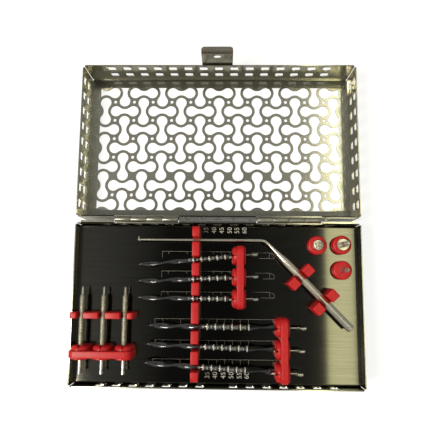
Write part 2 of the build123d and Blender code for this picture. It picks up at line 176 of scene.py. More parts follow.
def fit(name, meshes, body, nodes, materials, place=Matrix.Identity(4), smooth=35):
    """Joins meshes made in millimetres into one piece at its place, on its body, for its CAD nodes."""
    joined = bmesh.new()
    for mesh in meshes:
        joined.from_mesh(mesh)
        bpy.data.meshes.remove(mesh)
    mesh = bpy.data.meshes.new(name)
    joined.to_mesh(mesh)
    joined.free()
    mesh.transform(place)
    mesh.transform(Matrix.Scale(millimetre, 4))
    for polygon in mesh.polygons:
        polygon.use_smooth = True
    mesh.set_sharp_from_angle(angle=math.radians(smooth))
    for material in materials:
        mesh.materials.append(material)
    piece = bpy.data.objects.new(name, mesh)
    bpy.context.scene.collection.objects.link(piece)
    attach(piece, body)
    if nodes:
        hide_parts(*nodes)
    return piece


def block(size, centre, corner=0.15):
    """A block with rounded upright corners and broken edges, its size and centre in X, Y and Z."""
    mesh = cut_sheet([rounded_rectangle((0, 0), size[0], size[1], corner)], size[2], corner / 3)
    mesh.transform(Matrix.Translation(centre))
    return mesh


# The flat blank's edges: fold_x and fold_y are where the folds start, and rim_x and rim_y its four rims
fold_x = tray_width / 2 - bend_radius
fold_y = tray_depth / 2 - bend_radius
fold_run = bend_radius * math.pi / 2
rim_x = fold_x + fold_run + tray_height - bend_radius
rim_y = fold_y + fold_run + tray_height - bend_radius


def blank_outline():
    """The cross-shaped blank: four flaps with rounded rim corners, and a relief hole in each notch."""
    flap_x = tray_width / 2 - sheet - seam_gap
    flap_y = tray_depth / 2 - sheet - seam_gap
    quarter = arc((rim_x - rim_corner, flap_y - rim_corner), rim_corner, 0, 90, 6)
    quarter += arc((flap_x, flap_y), relief_radius, 0, -270, 15)
    quarter += arc((flap_x - rim_corner, rim_y - rim_corner), rim_corner, 0, 90, 6)
    outline = list(quarter)
    outline += [(-x, y) for x, y in reversed(quarter)]
    outline += [(-x, -y) for x, y in quarter]
    outline += [(x, -y) for x, y in reversed(quarter)]
    return outline


def wall_slots(is_base):
    """The walls' slots in the flat blank; the base's end walls and the middle of its front have none."""
    loops = []
    for row in slot_rows:
        for i in range(-slots_each_way_long, slots_each_way_long + 1):
            for side in (-1, 1):
                if not (is_base and i == 0 and side < 0):
                    at = (i * slot_pitch_long, side * (rim_y - row))
                    loops.append(rounded_rectangle(at, slot_length, slot_height, slot_corner))
        if is_base:
            continue
        for i in range(-slots_each_way_short, slots_each_way_short + 1):
            for side in (-1, 1):
                at = (side * (rim_x - row), i * slot_pitch_short)
                loops.append(rounded_rectangle(at, slot_height, slot_length, slot_corner))
    return loops


def fold_up(mesh):
    """Folds the blank's flaps up, each fold a true bend round its radius."""
    blank = bmesh.new()
    blank.from_mesh(mesh)
    for axis, fold in ((0, fold_x), (1, fold_y)):
        normal = Vector((1, 0, 0)) if axis == 0 else Vector((0, 1, 0))
        for side in (-1, 1):
            for i in range(bend_steps + 1):
                at = side * (fold + fold_run * i / bend_steps)
                bmesh.ops.bisect_plane(blank, geom=blank.verts[:] + blank.edges[:] + blank.faces[:],
                                       dist=1e-5, plane_co=normal * at, plane_no=normal)
    for vertex in blank.verts:
        depth = vertex.co.z + sheet / 2
        height = depth
        for axis, fold in ((0, fold_x), (1, fold_y)):
            reach = abs(vertex.co[axis]) - fold
            if reach <= 0:
                continue
            side = math.copysign(1, vertex.co[axis])
            turn = min(reach, fold_run) / bend_radius
            vertex.co[axis] = side * (fold + (bend_radius - depth) * math.sin(turn))
            height = bend_radius - (bend_radius - depth) * math.cos(turn) + max(0, reach - fold_run)
        vertex.co.z = height
    blank.to_mesh(mesh)
    blank.free()
    return mesh


# The lip is the rim of the hinge wall turned outward, left out where the hinges stand
hinge_low, hinge_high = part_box("hinge_pins")
hinge_y = (hinge_low.y + hinge_high.y) / 2 / millimetre
hinge_z = (hinge_low.z + hinge_high.z) / 2 / millimetre
hinge_length = 40.6
hinge_centre = hinge_high.x / millimetre - hinge_length / 2
lip_reach = {1: 1.2, -1: 0.4}
lip_half_span = 87.6
lip_gap = 0.5


def hinge_wall_lips(side):
    """The turned rim of the hinge wall, on the wall that faces +Y or, for side -1, the one that faces -Y."""
    cut = hinge_length / 2 + lip_gap
    spans = ((-lip_half_span, -hinge_centre - cut), (-hinge_centre + cut, hinge_centre - cut),
             (hinge_centre + cut, lip_half_span))
    lips = []
    for start, end in spans:
        reach = lip_reach[side]
        centre = ((start + end) / 2, side * (tray_depth / 2 + (reach - sheet) / 2), tray_height - sheet / 2)
        lips.append(block((end - start, reach + sheet, sheet), centre, 0.15))
    return lips


def steel_sheet(name, smoothest, roughest, darkest, lightest):
    """Cold-rolled stainless sheet, tumbled: a warm grey, softly mirrored, with a fine uneven grain.

    The real grain is near 0.1 mm; it is drawn coarser here so that it shows.
    """
    grain = 0.5 * millimetre
    cloud = 14 * millimetre
    steel = new_material(name)
    where = place_on(steel)
    patches = noise(steel, where, cloud, 3.0)
    grains = noise(steel, where, grain, 3.0)
    speckle = spread(steel, grains, 0, 1, 0.3, 0.7)
    return surface(steel, Base_Color=tint(steel, speckle, darkest, lightest), Metallic=1.0,
                   Roughness=spread(steel, patches, smoothest, roughest),
                   Normal=relief(steel, grains, 0.04, 0.01 * millimetre))


stainless_sheet = steel_sheet("stainless_sheet", 0.13, 0.22, "#A2A092", "#C0BEAE")
base_blank = cut_sheet([blank_outline()] + wall_slots(True), sheet, broken_edge)
fit("base_tray_sheet", [fold_up(base_blank)] + hinge_wall_lips(1), "base", ["base_tray"],
    [stainless_sheet])


# Lid tray: the same folded blank, with its plate pierced by bones laid alternately along and across, so that
# a web of even width winds between them, and by small round holes where four bones meet.
lid_centre_y = 2 * hinge_y
bone_columns = 13
bone_rows = 7
bone_pitch = 13.35
bone_web = 1.8
lobe_offset = 6.1
lobe_radius = (math.hypot(lobe_offset, bone_pitch - lobe_offset) - bone_web) / 2
waist_radius = lobe_radius + bone_web
waist_centre = bone_pitch - lobe_offset
lobe_steps = 22
waist_steps = 7
pip_radius = 1.1
row_without_pips = 1


def bone(centre, along_x, half_window):
    """One bone's outline: two lobes and a waist, cut off square at the edge of the pattern."""
    turn = math.degrees(math.atan2(waist_centre, -lobe_offset))
    narrow = math.degrees(math.atan2(lobe_offset, waist_centre))
    points = []
    for end in (1, -1):
        lobe = arc((lobe_offset, 0), lobe_radius, -turn, 2 * turn, lobe_steps)
        waist = arc((0, waist_centre), waist_radius, -90 + narrow, -2 * narrow, waist_steps)[1:-1]
        points += [(end * x, end * y) for x, y in lobe + waist]
    if not along_x:
        points = [(y, x) for x, y in points]
    points = [(centre[0] + x, centre[1] + y) for x, y in points]
    for axis in (0, 1):
        for side in (-1, 1):
            points = clip(points, axis, side, half_window[axis])
    return points


def clip(points, axis, side, limit):
    """The part of an outline on the inner side of one straight edge."""
    kept = []
    for i, point in enumerate(points):
        before = points[i - 1]
        inside = side * point[axis] <= limit
        if inside != (side * before[axis] <= limit):
            share = (side * limit - before[axis]) / (point[axis] - before[axis])
            kept.append(tuple(before[k] + share * (point[k] - before[k]) for k in (0, 1)))
        if inside:
            kept.append(point)
    return kept


def grille():
    span_x, span_y = (bone_columns - 1) * bone_pitch, (bone_rows - 1) * bone_pitch
    window = (span_x / 2 + lobe_radius, span_y / 2 + lobe_radius)
    loops = []
    for column in range(bone_columns):
        for row in range(bone_rows):
            at = (column * bone_pitch - span_x / 2, row * bone_pitch - span_y / 2)
            loops.append(bone(at, (column + row) % 2 == 0, window))
            if column < bone_columns - 1 and row < bone_rows - 1 and row != row_without_pips:
                loops.append(arc((at[0] + bone_pitch / 2, at[1] + bone_pitch / 2), pip_radius, 0, 345, 23))
    return loops


# The spring tab of the latch is a strip welded on the far wall, joggled outward, with a lip at its end
tab_x = -0.95
tab_width = 20.3
tab_corner = 2.0
tab_foot = 3.0
tab_joggle = 0.6
tab_joggle_run = 1.4
tab_straight = 13.8
tab_lip = 5.0
tab_lip_angle = 30
tab_bend = 1.2
tab_hole = (4.8, 3.8)
tab_hole_height = 9.7


def oval(size, height=0.0):
    """The outline of an oval, from its length and width."""
    half = (size[0] - size[1]) / 2
    return arc((half, height), size[1] / 2, -90, 180, 10) + arc((-half, height), size[1] / 2, 90, 180, 10)


def latch_tab():
    """The tab's strip, with its oval hole, bent along its side view."""
    lean = math.degrees(math.atan2(tab_joggle, tab_joggle_run))
    side_view = ((tab_foot - tab_joggle_run, lean), (math.hypot(tab_joggle, tab_joggle_run), -lean),
                 (tab_straight, tab_lip_angle), (tab_lip, 0))
    total = sum(run for run, turn in side_view)
    before_straight = side_view[0][0] + side_view[1][0]
    outline = [(-tab_width / 2, 0), (tab_width / 2, 0)]
    outline += arc((tab_width / 2 - tab_corner, total - tab_corner), tab_corner, 0, 90, 6)
    outline += arc((tab_corner - tab_width / 2, total - tab_corner), tab_corner, 90, 90, 6)
    mesh = cut_sheet([outline, oval(tab_hole, before_straight + tab_hole_height)], sheet, broken_edge)
    strip = bmesh.new()
    strip.from_mesh(mesh)
    bends = []
    reached = 0
    for run, turn in side_view[:-1]:
        reached += run
        bends.append((reached, turn))
        for i in range(bend_steps + 1):
            at = reached + tab_bend * (i / bend_steps - 0.5)
            bmesh.ops.bisect_plane(strip, geom=strip.verts[:] + strip.edges[:] + strip.faces[:],
                                   dist=1e-5, plane_co=(0, at, 0), plane_no=(0, 1, 0))
    for vertex in strip.verts:
        along, depth = vertex.co.y, vertex.co.z + sheet / 2
        y, z, angle, reached = 0.0, 0.0, 0.0, 0.0
        while reached < along - 1e-6:
            step = min(0.05, along - reached)
            middle = reached + step / 2
            angle = sum(math.radians(turn) * min(1, max(0, (middle - at) / tab_bend + 0.5))
                        for at, turn in bends)
            y += step * math.sin(angle)
            z += step * math.cos(angle)
            reached += step
        vertex.co = (vertex.co.x + tab_x, tray_depth / 2 + y + depth * math.cos(angle),
                     tray_height - tab_foot + z - depth * math.sin(angle))
    strip.to_mesh(mesh)
    strip.free()
    return mesh


lid_blank = cut_sheet([blank_outline()] + wall_slots(False) + grille(), sheet, broken_edge)
fit("lid_tray_sheet", [fold_up(lid_blank), latch_tab()] + hinge_wall_lips(-1), "lid", ["lid_tray"],
    [stainless_sheet], Matrix.Translation((0, lid_centre_y, 0)))


# Hinges: stainless strip curled round a 2 mm pin into four knuckles, two on each tray in turn, with its leaf
# spot welded to the outside of the hinge wall. The pins' ends are slightly domed.
knuckle_radius = 1.7
knuckle_play = 0.4
knuckle_edge = 0.25
pin_radius = 1.0
leaf_step = 2.1
leaf_height = 9.0
leaf_overlap = 0.4
pin_dome = 0.45
round_steps = 40


def skin(rings, finishes=None, caps=False):
    """A mesh over rings of points, each stretch with its own finish; a ring of one point is a tip."""
    piece = bmesh.new()
    made = [[piece.verts.new(point) for point in ring] for ring in rings]
    for stretch, (one, two) in enumerate(zip(made, made[1:])):
        count = max(len(one), len(two))
        for i in range(count):
            j = (i + 1) % count
            corners = [one[i % len(one)], one[j % len(one)], two[j % len(two)], two[i % len(two)]]
            corners = list(dict.fromkeys(corners))
            if len(corners) > 2:
                face = piece.faces.new(corners)
                face.material_index = finishes[stretch] if finishes else 0
    if caps:
        ends = [piece.faces.new(made[0]), piece.faces.new(made[-1])]
        ends[1].material_index = finishes[-1] if finishes else 0
        bmesh.ops.triangulate(piece, faces=ends)
    bmesh.ops.recalc_face_normals(piece, faces=piece.faces)
    mesh = bpy.data.meshes.new("skin")
    piece.to_mesh(mesh)
    piece.free()
    return mesh


def turned(profile, steps=round_steps, finishes=None):
    """A piece turned about the X axis from (distance along, radius) pairs, closed where the radius is 0."""
    rings = []
    for along, radius in profile:
        circle = arc((0, 0), radius, 0, 360, steps)[:-1] if radius else [(0, 0)]
        rings.append([(along, y, z) for y, z in circle])
    return skin(rings, finishes)


def moved(mesh, *matrices):
    for matrix in matrices:
        mesh.transform(matrix)
    return mesh


def hinge_side(side, first):
    """One tray's leaves and knuckles at both hinges; side is -1 on the base and 1 on the lid."""
    pitch = hinge_length / 4
    gap = hinge_y - tray_depth / 2
    made = []
    for centre in (-hinge_centre, hinge_centre):
        plate_height = leaf_height - leaf_step
        leaf_y = hinge_y + side * (gap - sheet / 2)
        made.append(block((hinge_length, sheet, plate_height),
                          (centre, leaf_y, hinge_z - leaf_step - plate_height / 2), 0.3))
        for i in range(first, 4, 2):
            x = centre + (i + 0.5) * pitch - hinge_length / 2
            half = (pitch - knuckle_play) / 2
            r = knuckle_radius
            edge = knuckle_edge
            curl = turned([(-half, pin_radius), (-half, r - edge), (0.3 * edge - half, r - 0.3 * edge),
                           (edge - half, r), (half - edge, r), (half - 0.3 * edge, r - 0.3 * edge),
                           (half, r - edge), (half, pin_radius)])
            made.append(moved(curl, Matrix.Translation((x, hinge_y, hinge_z))))
            made.append(block((2 * half, sheet, leaf_step + leaf_overlap),
                              (x, leaf_y, hinge_z - (leaf_step + leaf_overlap) / 2), 0.1))
    return made


def pins():
    made = []
    for centre in (-hinge_centre, hinge_centre):
        half = hinge_length / 2
        pin = turned([(-half, 0), (pin_dome / 3 - half, 0.6 * pin_radius), (pin_dome - half, pin_radius),
                      (half - pin_dome, pin_radius), (half - pin_dome / 3, 0.6 * pin_radius), (half, 0)], 24)
        made.append(moved(pin, Matrix.Translation((centre, hinge_y, hinge_z))))
    return made


# Painted shade: the hinge strip is the trays' stainless drawn darker than their sheet, for the shade the
# hinges sit in.
hinge_strip = steel_sheet("hinge_steel_painted_shade", 0.3, 0.42, "#858378", "#A3A194")
fit("base_hinge_knuckles", hinge_side(-1, 0), "base", ["base_hinge_leaves"], [hinge_strip])
fit("lid_hinge_knuckles", hinge_side(1, 1), "lid", ["lid_hinge_leaves"], [hinge_strip])
fit("hinge_pin_pair", pins(), "base", ["hinge_pins"], [hinge_strip])


# Latch stud: an oval stainless button on a small pad, spot welded to the base's front wall. The hole of the
# lid's spring tab drops over it.
stud_low, stud_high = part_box("latch_stud")
stud_size = (4.2, 3.2)
stud_reach = 1.5
stud_pad = (9.6, 8.0, 0.5)


def latch_stud():
    """The button, well rounded, and its pad, standing up from the wall."""
    button = cut_sheet([oval(stud_size)], stud_reach, 0.35, 3)
    pad = block(stud_pad, (0, 0, stud_pad[2] / 2), 0.9)
    return [moved(button, Matrix.Translation((0, 0, stud_reach / 2))), pad]


def turn_about(axis, degrees):
    return Matrix.Rotation(math.radians(degrees), 4, axis)


stud_place = Matrix.Translation((tab_x, -tray_depth / 2, (stud_low.z + stud_high.z) / 2 / millimetre))
fit("latch_stud_button", latch_stud(), "base", ["latch_stud"], [stainless_sheet],
    stud_place @ turn_about("X", 90))


# Deck: the same sheet, brushed along its length, its colour set near black, folded down in front and behind
# to stand on the floor of the base. The near-black colour is partly a dark finish and partly painted shade
# for the dark room overhead that the steel mirrors. The brushing draws the lamp's reflection out across it.
deck_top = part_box("deck_plate")[1].z / millimetre
axis_height = 8.0
axis_z = deck_top + axis_height


def brushed_deck():
    """Stainless sheet brushed with a fine belt along X, with hairlines that scatter light crosswise. Its
    colour is near black: partly a dark finish, partly painted shade for the dark room overhead that it
    mirrors.

    The real hairlines are near 0.05 mm wide; they are drawn coarser here so that they show.
    """
    hairline = 0.45 * millimetre
    hairline_length = 25 * millimetre
    deck = new_material("deck_steel_painted_dark")
    where = place_on(deck)
    drawn_out = {"Vector": where, "Scale": (hairline / hairline_length, 1, 1)}
    lines = noise(deck, add_node(deck, "ShaderNodeMapping", drawn_out).outputs[0], hairline, 3.0)
    # Painted shade: the steel's colour is set near black, partly to stand in for the dark room it mirrors.
    return surface(deck, Base_Color=tint(deck, lines, "#41403B", "#5F5E56"), Metallic=1.0,
                   Roughness=spread(deck, lines, 0.05, 0.09),
                   Normal=relief(deck, lines, 0.03, 0.01 * millimetre))


deck_dark_and_painted_shade = brushed_deck()
deck_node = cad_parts["deck_plate"]
deck_node.data.materials.clear()
deck_node.data.materials.append(deck_dark_and_painted_shade)


# Depth scale: plain numbers in millimetres and outlines of the drills, marked on the deck by a laser, which
# leaves a pale matt line a few hundredths of a millimetre deep.
mark_height = 0.02
mark_depth = 0.02
number_size = 4.2
number_thinning = 0.01
top_row = {"y": 46.9, "x": (-7.5, -2.3, 2.7, 7.9, 12.6, 17.5)}
bottom_row = {"y": -44.1, "x": (-5.7, -0.9, 4.3, 9.3, 14.4, 18.9)}
place_number_x = 36.7
place_number_y = (-36.3, -24.5, -11.6)
place_number_size = 2.2


def laser_mark():
    """Steel turned pale and matt by the laser: it scatters light that the brushed steel mirrors away."""
    mark = new_material("laser_mark")
    where = place_on(mark)
    pits = noise(mark, where, 0.2 * millimetre)
    return surface(mark, Base_Color=tint(mark, pits, "#A9A79C", "#D8D6CC"), Roughness=0.7)


pale_mark = laser_mark()


def number_mesh(text, x, y, size, turn):
    """A number as a thin raised mesh, turned on the deck, its middle at x, y."""
    curve = bpy.data.curves.new("number", "FONT")
    curve.body = text
    curve.size = size
    curve.align_x = "CENTER"
    curve.align_y = "CENTER"
    curve.extrude = mark_depth / 2
    curve.offset = -number_thinning * size
    holder = bpy.data.objects.new("number", curve)
    mesh = bpy.data.meshes.new_from_object(holder)
    bpy.data.objects.remove(holder)
    bpy.data.curves.remove(curve)
    return moved(mesh, turn_about("Z", turn), Matrix.Translation((x, y, deck_top + mark_height)))


def depth_numbers():
    made = []
    for row in (top_row, bottom_row):
        for i, x in enumerate(row["x"]):
            made.append(number_mesh(str(35 + 5 * i), x, row["y"], number_size, 90))
    for i, y in enumerate(place_number_y):
        made.append(number_mesh(str(i + 1), place_number_x, y, place_number_size, 90))
    return made


fit("depth_scale_numbers", depth_numbers(), "base", [], [pale_mark])

# Each drill's outline: its line's Y, both ends, the ticks at its depth marks and the reach of a tick
line_width = 0.07
short_ticks = (-31.6, -19.7, -2.6, 2.7, 8.1)
long_ticks = (-34.3, -23.1, -5.2, 0.0, 5.0, 9.9, 14.8, 20.0)
outlines = ((33.0, -35.7, 10.1, short_ticks, 1.7), (20.4, -35.8, 9.0, short_ticks, 1.7),
            (7.2, -35.9, 9.8, short_ticks, 1.7), (-9.7, -39.5, 38.3, long_ticks, 3.7),
            (-22.9, -39.1, 38.3, long_ticks, 3.0), (-34.6, -40.4, 38.2, long_ticks, 3.0))
outline_end = 4.0
latch_outlines = ((32.5, 22.2), (19.5, 24.2), (7.4, 22.2))
latch_outline_reach = (33.5, 36.4)
latch_outline_height = 3.6


def stroke(start, end):
    """The four corners of a straight line with width, in the deck's plane."""
    run = Vector(end) - Vector(start)
    aside = Vector((-run.y, run.x)).normalized() * line_width / 2
    return [tuple(Vector(start) - aside), tuple(Vector(end) - aside), tuple(Vector(end) + aside),
            tuple(Vector(start) + aside)]


def outline_strokes():
    strokes = []
    for y, left, right, ticks, reach in outlines:
        under = y - line_width
        strokes.append(stroke((left, y), (right, y)))
        strokes.append(stroke((left, under), (left, y - outline_end)))
        strokes += [stroke((x, under), (x, y - reach)) for x in ticks]
    for y, left in latch_outlines:
        neck, tip = latch_outline_reach
        low = y - latch_outline_height
        strokes += [stroke((left, y), (neck, y)), stroke((neck + 0.1, y), (tip, y - 1.0)),
                    stroke((tip, y - 1.2), (tip, low + 0.2)), stroke((left + 5, low), (tip, low)),
                    stroke((neck, y - 0.2), (neck, low + 0.2))]
    return strokes


fit("drill_outlines", [cut_sheet(outline_strokes(), mark_depth, 0)], "base", [], [pale_mark],
    Matrix.Translation((0, 0, deck_top + mark_height)))


# Silicone holders: moulded in red silicone rubber and pressed through slots in the deck. Each shank goes
# through a boss whose lips shut over it and open in a V towards the instrument's tip.
bar_length = 39.2
bar_height = 15.0
bar_corner = 4.5
bar_thickness = 4.2
bar_edge = 0.45
boss_pitch = 13.4
boss_radius = 5.7
boss_top = 13.0
boss_tip_side = 2.9
boss_shank_side = 1.4
shank_radius = 1.175
slit_width = 0.25
mouth_width = 2.2


def red_silicone():
    """Silicone rubber from a satin mould: deep red, a little light going in, soft broad highlights."""
    bloom = 2.5 * millimetre
    texture = 0.25 * millimetre
    rubber = new_material("red_silicone")
    where = place_on(rubber)
    fine = noise(rubber, where, texture, 1.0)
    return surface(rubber, Base_Color=tint(rubber, noise(rubber, where, bloom), "#A90E14", "#C21D20"),
                   Roughness=0.4, IOR=1.41, Subsurface_Weight=0.08, Subsurface_Radius=(1.0, 0.25, 0.2),
                   Subsurface_Scale=0.6 * millimetre, Normal=relief(rubber, fine, 0.15, 0.03 * millimetre))


silicone = red_silicone()
upright = turn_about("X", 90)


def boss_section(at, depth, grow, lift, mouth):
    """One section across a boss: its arch, slit down to the shank's hole, at a depth along the shank."""
    radius, top = boss_radius * grow, boss_top - lift
    crown = top - axis_height
    half = max(slit_width, mouth) / 2
    side = math.degrees(math.asin(half / radius))
    points = [(radius, 0)]
    points += [(x, axis_height + y * crown / radius) for x, y in arc((0, 0), radius, 0, 90 - side, 10)]
    low = math.degrees(math.asin(slit_width / 2 / shank_radius))
    rim_y = axis_height + shank_radius * math.cos(math.radians(low))
    for i in range(1, 4):
        share = i / 4
        points.append((half + (slit_width / 2 - half) * share ** 2,
                       points[10][1] * (1 - share) + rim_y * share))
    points += [(x, y) for x, y in arc((0, axis_height), shank_radius, 90 - low, 2 * low - 360, 16)]
    points += [(-x, y) for x, y in reversed(points[1:15])] + [(-radius, 0)]
    return [(at + x, y, depth) for x, y in points]


def boss(at):
    """A boss in the bar's elevation: rounded over at both ends, with its mouth open towards the tips."""
    front, back = boss_tip_side + bar_thickness / 2, -boss_shank_side - bar_thickness / 2
    sections = ((back, 0.9, 0.6, 0), (back + 0.15, 0.95, 0.25, 0), (back + 0.5, 1, 0, 0),
                (front - 2.6, 1, 0, 0), (front - 1.7, 0.99, 0.15, 0.15 * mouth_width),
                (front - 1.0, 0.95, 0.5, 0.4 * mouth_width), (front - 0.45, 0.87, 1.1, 0.75 * mouth_width),
                (front - 0.12, 0.78, 1.9, 0.95 * mouth_width), (front, 0.7, 2.6, mouth_width))
    return skin([boss_section(at, *section) for section in sections], caps=True)


def bar_with_bosses():
    """A three-place holder in its own elevation: u along the bar, v up from the deck, w towards the tips."""
    half = bar_length / 2
    shoulder = bar_height - bar_corner
    outline = [(-half, 0), (half, 0)] + arc((half - bar_corner, shoulder), bar_corner, 0, 90, 8)
    outline += arc((bar_corner - half, shoulder), bar_corner, 90, 90, 8)
    places = [i * boss_pitch for i in (-1, 0, 1)]
    holes = [arc((at, axis_height), shank_radius + 0.02, 0, 345, 23) for at in places]
    made = [moved(cut_sheet([outline] + holes, bar_thickness, bar_edge, 3), upright)]
    return made + [moved(boss(at), turn_about("Y", 180), upright) for at in places]


def on_deck(x, y, turn):
    return Matrix.Translation((x, y, deck_top)) @ turn_about("Z", turn)


short_bar = (14.4, 16.75)
long_bar = (41.0, -27.4)
bur_bar = (-70.6, -30.4)
for node, at, turn in (("short_drill_holder", short_bar, 90), ("long_drill_holder", long_bar, 90),
                       ("bur_holder", bur_bar, 0)):
    fit(node + "_bar", bar_with_bosses(), "base", [node], [silicone], on_deck(*at, turn))


# Comb and bur rail: two plainer strips of the same silicone, pressed through the deck, with open gaps in
# which the drills' tips and the burs lie.
comb_centre = (-13.3, 1.15)
comb_length = 94.4
comb_height = 14.8
comb_thickness = 4.6
comb_drill_y = (27.4, 15.4, 3.4, -13.6, -25.6, -37.6)
comb_probe_y = 39.9
comb_gap = 4.3
comb_probe_gap = 3.6
drill_radius = (1.5, 1.6, 1.6, 1.9, 1.75, 1.75)
probe_rod_radius = 0.95
grip_play = 0.1
bur_rail_y = -7.3
bur_rail_height = 13.5
bur_rail_thickness = 3.8
bur_rail_gap = 4.2
bur_radius = 1.6
gap_rounding = 0.5


def strip_with_gaps(length, height, thickness, corner, gaps):
    """A silicone strip in its own elevation; each gap is its place, its width and its instrument's radius."""
    half = length / 2
    outline = [(-half, 0), (half, 0)] + arc((half - corner, height - corner), corner, 0, 90, 8)
    for at, width, radius in sorted(gaps, reverse=True):
        bottom = axis_height - radius - grip_play
        soft = min(radius, width / 2 - 0.05)
        outline += arc((at + width / 2 + gap_rounding, height - gap_rounding), gap_rounding, 90, 90, 4)
        outline += arc((at + width / 2 - soft, bottom + soft), soft, 0, -90, 6)
        outline += arc((at - width / 2 + soft, bottom + soft), soft, -90, -90, 6)
        outline += arc((at - width / 2 - gap_rounding, height - gap_rounding), gap_rounding, 0, 90, 4)
    outline += arc((corner - half, height - corner), corner, 90, 90, 8)
    return moved(cut_sheet([outline], thickness, bar_edge, 3), upright)


comb_gaps = [(y - comb_centre[1], comb_gap, radius) for y, radius in zip(comb_drill_y, drill_radius)]
comb_gaps.append((comb_probe_y - comb_centre[1], comb_probe_gap, probe_rod_radius))
comb_strip = strip_with_gaps(comb_length, comb_height, comb_thickness, 3.0, comb_gaps)
fit("comb_rail_strip", [comb_strip], "base", ["comb_rail"], [silicone],
    on_deck(*comb_centre, 90))
bur_gaps = [(i * boss_pitch, bur_rail_gap, bur_radius) for i in (-1, 0, 1)]
bur_strip = strip_with_gaps(bar_length, bur_rail_height, bur_rail_thickness, 1.5, bur_gaps)
fit("bur_rail_strip", [bur_strip], "base", ["bur_rail"], [silicone],
    on_deck(bur_bar[0], bur_rail_y, 0))


# Handle clips: two short blocks of the same silicone, pressed through the deck across the probe's handle,
# each with one wide gap.
probe_bend_x = 30.0
probe_angle = -46.0
clip_distances = {"upper_handle_clip": 31.5, "lower_handle_clip": 52.5}
clip_length = 18.0
clip_thickness = 6.2
clip_height = 14.0
clip_gap = 6.0
probe_handle_radius = 2.6


def along_handle(distance):
    angle = math.radians(probe_angle)
    return probe_bend_x + distance * math.cos(angle), comb_probe_y + distance * math.sin(angle)


for node, distance in clip_distances.items():
    clip_gaps = [(0, clip_gap, probe_handle_radius)]
    clip_shape = strip_with_gaps(clip_length, clip_height, clip_thickness, 0.8, clip_gaps)
    fit(node + "_block", [clip_shape], "base", [node], [silicone],
        on_deck(*along_handle(distance), 90 + probe_angle))


# Grommets: round silicone plugs, snapped into holes of the deck by a neck as thick as the sheet and a foot
# below it, each bored for its upright driver.
grommet_radius = 6.0
grommet_height = 5.5
grommet_neck = 4.5
grommet_foot = 5.4
grommet_depth = 2.7
grommets = {"grommet_torque": 1.9, "grommet_hex": 1.9, "grommet_pin": 1.175}


def node_centre(name):
    low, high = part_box(name)
    return (low + high) / 2 / millimetre


for node, shaft in grommets.items():
    centre = node_centre(node)
    bore = shaft + grip_play
    top = grommet_height
    plug = turned([(-grommet_depth, bore), (-grommet_depth, grommet_foot - 0.4),
                   (0.4 - grommet_depth, grommet_foot), (-sheet, grommet_foot), (-sheet, grommet_neck),
                   (0, grommet_neck), (0, grommet_radius), (top - 0.9, grommet_radius),
                   (top - 0.4, grommet_radius - 0.25), (top - 0.1, grommet_radius - 0.8),
                   (top, grommet_radius - 1.3), (top, bore + 0.4), (top - 0.4, bore)], 48)
    fit(node + "_plug", [moved(plug, turn_about("Y", -90))], "base", [node],
        [silicone], Matrix.Translation((centre.x, centre.y, deck_top)))


# Drills: hardened stainless twist drills with a black wear coating, a two-flute spiral at the tip, pale
# bands every 5 mm with the depth before each, and a bright latch shank with its flat and groove.
drill_tip_x = (-50.6, -50.6, -50.6, -43.2, -44.2, -45.4)
drill_length = (76.3, 98.2)
drill_body = (57.5, 78.5)
flute_length = 33.0
flute_fade = 7.0
flute_pitch = 35.0
flute_hollow = 0.5
point_length = 2.6
band_pitch = (5.0, 5.13)
band_width = 0.6
band_proud = 0.05
band_count = (5, 6)
first_band = (35.8, 37.3)
digit_size = 1.6
digit_before_band = 2.5
flat_length = 4.6
groove = (0.8, 2.6, 0.8)
flute_sides = 36


def coated_steel():
    """Amorphous carbon, a few thousandths of a millimetre thick, on ground steel: black, with a hard gloss.

    Such a coating has a high refractive index, so its highlights are strong and sharp.
    """
    coated = new_material("black_coated_steel")
    where = place_on(coated)
    wear = noise(coated, where, 1.5 * millimetre, 4.0)
    return surface(coated, Base_Color=tint(coated, wear, "#0B0B0D", "#1E1E1F"),
                   Roughness=spread(coated, wear, 0.07, 0.15), IOR=2.0)


def ground_steel():
    """Ground and polished instrument steel: light, slightly warm, with fine turning marks."""
    ground = new_material("ground_steel")
    where = place_on(ground)
    marks = noise(ground, where, 0.3 * millimetre)
    return surface(ground, Base_Color=tint(ground, marks, "#B4B0A0", "#D6D2C2"), Metallic=1.0,
                   Roughness=spread(ground, marks, 0.2, 0.34))


black_steel = coated_steel()
bright_steel = ground_steel()


def drill_line(number):
    """The tip's place and the turn of a drill's axis, through its gap in the comb and its boss."""
    bar_x, bar_y = short_bar if number < 3 else long_bar
    boss_y = bar_y + (1 - number % 3) * boss_pitch
    slope = (boss_y - comb_drill_y[number]) / (bar_x - comb_centre[0])
    tip_x = drill_tip_x[number]
    return tip_x, comb_drill_y[number] + slope * (tip_x - comb_centre[0]), math.degrees(math.atan(slope))


